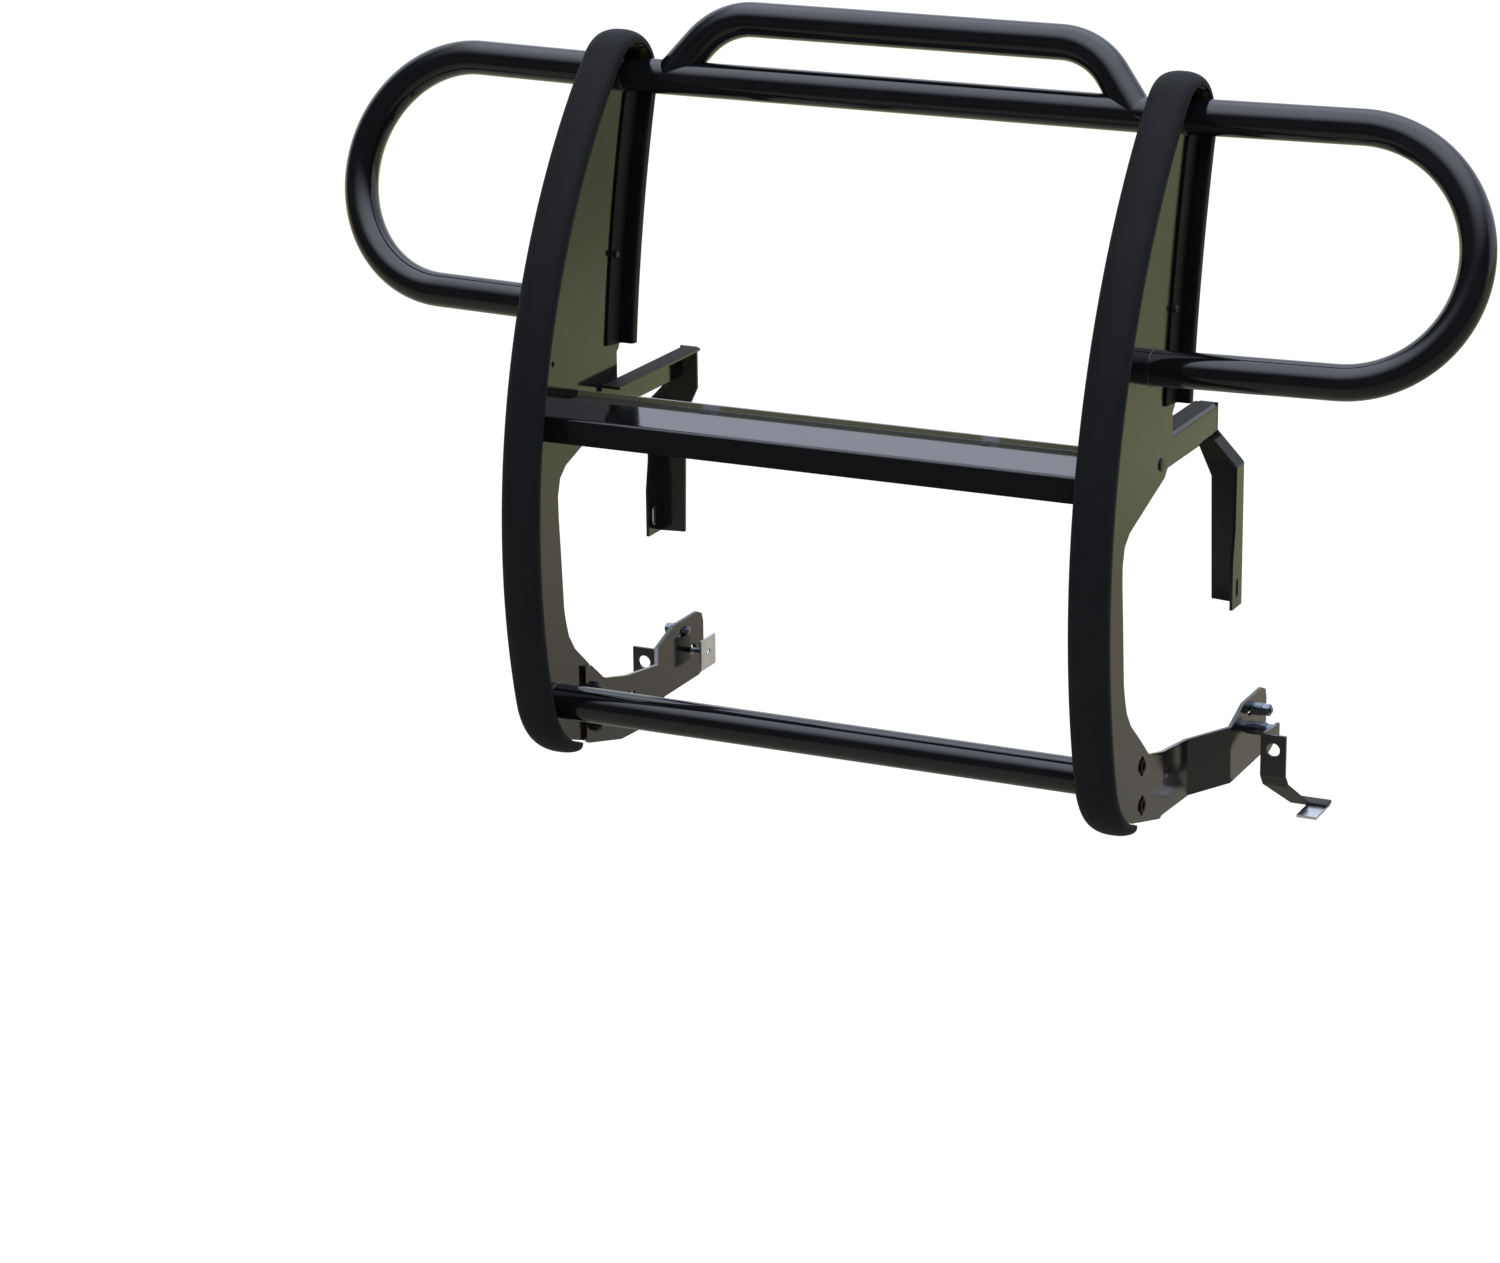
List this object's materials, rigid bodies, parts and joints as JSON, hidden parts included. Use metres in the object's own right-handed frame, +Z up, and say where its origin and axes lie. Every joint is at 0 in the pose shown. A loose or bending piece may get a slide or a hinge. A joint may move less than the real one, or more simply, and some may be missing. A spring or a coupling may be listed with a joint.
{
  "type": "front grille guard",
  "caption": "Curved plate uprights with rubber faces joined by cross tubes, a top hoop, side loops and a light crossbar, on bolted frame brackets.",
  "frame": {"origin": "midway between the two frame slots of the rear brackets", "axes": "+Z up; +Y rearwards, towards the vehicle; +X to the right as seen by someone standing in front of the guard and facing it; X = 0 is the symmetry plane"},
  "size_m": [1.5468, 0.5989, 1.0515],
  "materials": {
    "gloss_black": "gloss black powder coat",
    "satin_black": "satin black powder coat",
    "pad_rubber": "matte moulded rubber",
    "trim_rubber": "smooth black rubber",
    "black_fastener": "black oxide steel",
    "zinc": "bright zinc plate"
  },
  "bodies": {
    "root": {"upright_plate_left": "gloss_black", "upright_plate_right": "gloss_black", "front_spine_left": "gloss_black", "front_spine_right": "gloss_black", "front_pad_left": "pad_rubber", "front_pad_right": "pad_rubber", "rear_trim_left": "trim_rubber", "rear_trim_right": "trim_rubber", "trim_screws": "black_fastener", "trim_nuts": "black_fastener", "top_cross_tube": "gloss_black", "top_hoop": "gloss_black", "side_loop_left": "gloss_black", "side_loop_right": "gloss_black", "light_crossbar": "gloss_black", "lower_cross_tube": "gloss_black", "support_arm_left": "gloss_black", "support_arm_right": "gloss_black", "arm_bolts": "black_fastener", "arm_nuts": "black_fastener", "drop_bracket_left": "satin_black", "drop_bracket_right": "satin_black", "frame_bracket_left": "gloss_black", "frame_bracket_right": "gloss_black", "plate_bolts": "black_fastener", "plate_nuts": "black_fastener", "bolt_plate_left": "zinc", "bolt_plate_right": "zinc", "frame_studs": "zinc", "frame_nuts": "zinc", "stud_spacers": "zinc", "strap_left": "satin_black", "strap_right": "satin_black", "foot_plates": "zinc"}
  },
  "joints": []
}
